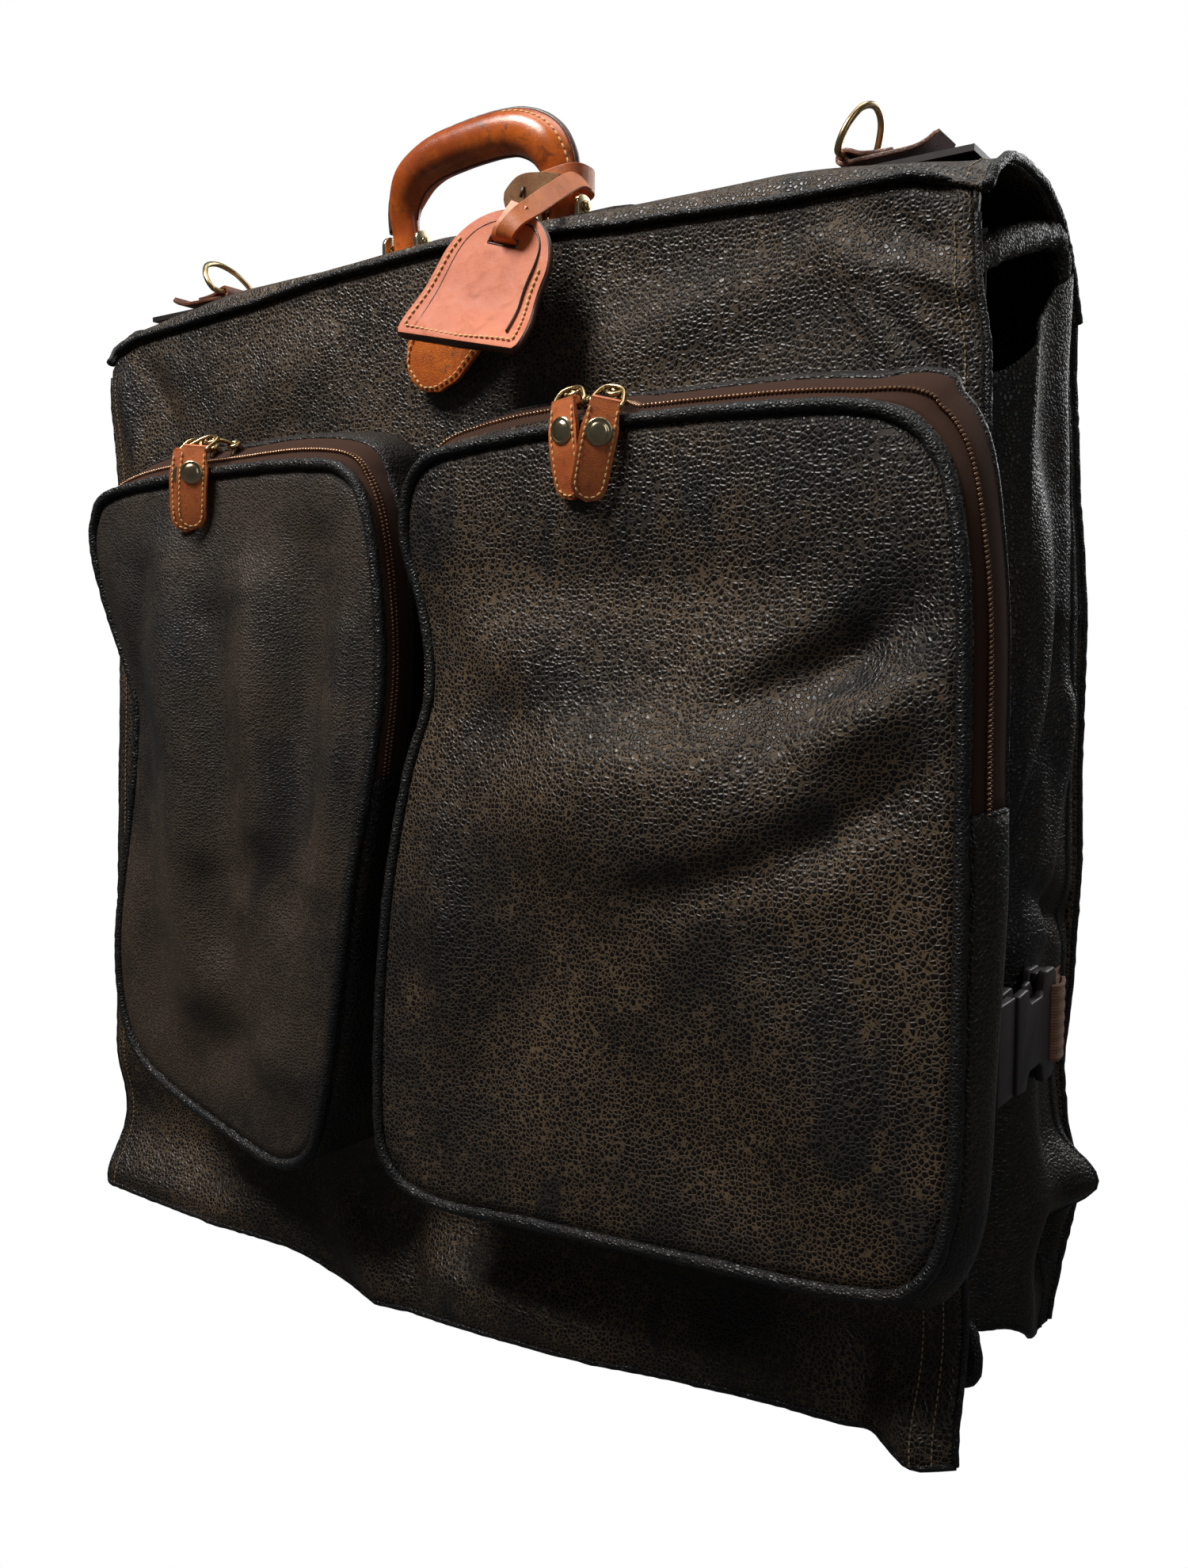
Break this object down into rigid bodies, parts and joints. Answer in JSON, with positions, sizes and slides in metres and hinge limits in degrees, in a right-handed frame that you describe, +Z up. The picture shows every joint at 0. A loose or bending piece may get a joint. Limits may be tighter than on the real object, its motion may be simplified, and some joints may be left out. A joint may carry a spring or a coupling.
{
  "type": "garment bag",
  "caption": "Folding garment bag with a top handle, luggage tag, outside zip pockets and side buckles, hanging folded.",
  "frame": {"origin": "middle of the underside of the handle's grip, where a hand or hook holds the bag", "axes": "+Z up, front with the pockets towards -Y, +X to the right seen from the front"},
  "size_m": [0.6188, 0.2115, 0.6678],
  "materials": {
    "suede": "pebbled, semi-matt, worn",
    "lining": "matt woven",
    "board": "plain stiffener",
    "dark_trim": "smooth dark trim",
    "handle_leather": "glossy cognac",
    "tag_leather": "satin tan",
    "card": "plain card",
    "brass": "polished, slightly worn",
    "steel": "brushed",
    "zip_tape": "woven tape",
    "webbing": "ribbed webbing",
    "buckle_plastic": "moulded"
  },
  "bodies": {
    "handle": {"handle_grip": "handle_leather", "handle_core": "steel", "handle_welt": "dark_trim", "tag_strap": "tag_leather"},
    "spine": {"top_cover": "suede", "top_board": "board", "handle_plate": "dark_trim", "handle_clevis_left": "brass", "handle_clevis_right": "brass", "handle_pin_left": "brass", "handle_pin_right": "brass", "ring_tab_left": "handle_leather", "ring_tab_right": "handle_leather"},
    "tag": {"tag_front": "tag_leather", "tag_back": "tag_leather", "name_card": "card", "tag_strap_end": "tag_leather", "key_sleeve": "handle_leather"},
    "d_ring_left": {"d_ring_left": "brass"},
    "d_ring_right": {"d_ring_right": "brass"},
    "front_half": {"front_panel": "suede", "front_gusset": "suede", "front_inner_panel": "lining", "left_pocket_frame": "suede", "left_pocket_zip": "zip_tape", "left_pocket_pouch": "suede", "left_front_webbing": "webbing", "left_buckle_male": "buckle_plastic", "right_pocket_frame": "suede", "right_pocket_zip": "zip_tape", "right_pocket_pouch": "suede", "right_front_webbing": "webbing", "right_buckle_male": "buckle_plastic"},
    "rear_half": {"rear_inner_panel": "lining", "rear_gusset": "suede", "rear_panel": "suede", "main_zip": "zip_tape", "hanger_bracket": "steel", "left_rear_webbing": "webbing", "right_rear_webbing": "webbing"},
    "main_slider": {"main_zip_slider": "brass", "main_zip_pull": "handle_leather"},
    "hanger_clamp": {"hanger_clamp": "steel"},
    "left_female": {"left_buckle_female": "buckle_plastic"},
    "left_flap": {"left_pocket_flap": "suede"},
    "left_slider_1": {"left_slider_1": "brass"},
    "left_pull_1": {"left_link_1": "brass", "left_pull_1": "tag_leather"},
    "left_slider_2": {"left_slider_2": "brass"},
    "left_pull_2": {"left_link_2": "brass", "left_pull_2": "tag_leather"},
    "right_female": {"right_buckle_female": "buckle_plastic"},
    "right_flap": {"right_pocket_flap": "suede"},
    "right_slider_1": {"right_slider_1": "brass"},
    "right_pull_1": {"right_link_1": "brass", "right_pull_1": "tag_leather"},
    "right_slider_2": {"right_slider_2": "brass"},
    "right_pull_2": {"right_link_2": "brass", "right_pull_2": "tag_leather"}
  },
  "joints": [
    {"name": "handle_swing", "type": "hinge", "parent": "handle", "child": "spine", "pos_m": [0, 0, -0.0345], "axis": [1, 0, 0], "range_deg": [-75, 75], "deforming": ["tag_strap"]},
    {"name": "front_fold", "type": "hinge", "parent": "spine", "child": "front_half", "pos_m": [0, -0.038, -0.0675], "axis": [-1, 0, 0], "range_deg": [0, 90]},
    {"name": "rear_fold", "type": "hinge", "parent": "spine", "child": "rear_half", "pos_m": [0, 0.112, -0.0975], "axis": [1, 0, 0], "range_deg": [0, 90]},
    {"name": "tag_swing", "type": "hinge", "parent": "spine", "child": "tag", "pos_m": [0.0513, -0.052, -0.0535], "axis": [-1, 0, 0], "range_deg": [0, 90]},
    {"name": "d_ring_left_swing", "type": "hinge", "parent": "spine", "child": "d_ring_left", "pos_m": [-0.2145, 0, -0.04175], "axis": [0, 1, 0], "range_deg": [-80, 80]},
    {"name": "d_ring_right_swing", "type": "hinge", "parent": "spine", "child": "d_ring_right", "pos_m": [0.2145, 0, -0.04175], "axis": [0, 1, 0], "range_deg": [-80, 80]},
    {"name": "main_zip_slide", "type": "slide", "parent": "rear_half", "child": "main_slider", "axis": [0, 0, -1], "range_m": [0, 0.44]},
    {"name": "hanger_clamp_turn", "type": "hinge", "parent": "rear_half", "child": "hanger_clamp", "pos_m": [0, 0.08145, -0.15795], "axis": [1, 0, 0], "range_deg": [0, 70]},
    {"name": "left_flap_open", "type": "hinge", "parent": "front_half", "child": "left_flap", "pos_m": [-0.129, -0.093, -0.342], "axis": [1, 0, 0], "range_deg": [0, 110]},
    {"name": "left_buckle_release", "type": "slide", "parent": "rear_half", "child": "left_female", "axis": [0, 1, 0], "range_m": [0, 0.032], "deforming": ["left_rear_webbing"]},
    {"name": "left_slider_1_slide", "type": "slide", "parent": "left_flap", "child": "left_slider_1", "axis": [-1, 0, 0], "range_m": [0, 0.045]},
    {"name": "left_pull_1_lift", "type": "hinge", "parent": "left_slider_1", "child": "left_pull_1", "pos_m": [-0.151, -0.0733, -0.1581], "axis": [-1, 0, 0], "range_deg": [0, 110]},
    {"name": "left_slider_2_slide", "type": "slide", "parent": "left_flap", "child": "left_slider_2", "axis": [1, 0, 0], "range_m": [0, 0.07]},
    {"name": "left_pull_2_lift", "type": "hinge", "parent": "left_slider_2", "child": "left_pull_2", "pos_m": [-0.133, -0.0733, -0.1581], "axis": [-1, 0, 0], "range_deg": [0, 110]},
    {"name": "right_flap_open", "type": "hinge", "parent": "front_half", "child": "right_flap", "pos_m": [0.149, -0.093, -0.342], "axis": [1, 0, 0], "range_deg": [0, 110]},
    {"name": "right_buckle_release", "type": "slide", "parent": "rear_half", "child": "right_female", "axis": [0, 1, 0], "range_m": [0, 0.032], "deforming": ["right_rear_webbing"]},
    {"name": "right_slider_1_slide", "type": "slide", "parent": "right_flap", "child": "right_slider_1", "axis": [-1, 0, 0], "range_m": [0, 0.045]},
    {"name": "right_pull_1_lift", "type": "hinge", "parent": "right_slider_1", "child": "right_pull_1", "pos_m": [0.1115, -0.0733, -0.1581], "axis": [-1, 0, 0], "range_deg": [0, 110]},
    {"name": "right_slider_2_slide", "type": "slide", "parent": "right_flap", "child": "right_slider_2", "axis": [1, 0, 0], "range_m": [0, 0.1]},
    {"name": "right_pull_2_lift", "type": "hinge", "parent": "right_slider_2", "child": "right_pull_2", "pos_m": [0.1303, -0.0733, -0.1581], "axis": [-1, 0, 0], "range_deg": [0, 110]}
  ],
  "couplings": [
    {"joint": "tag_swing", "follows": "front_fold", "ratio": 1}
  ]
}
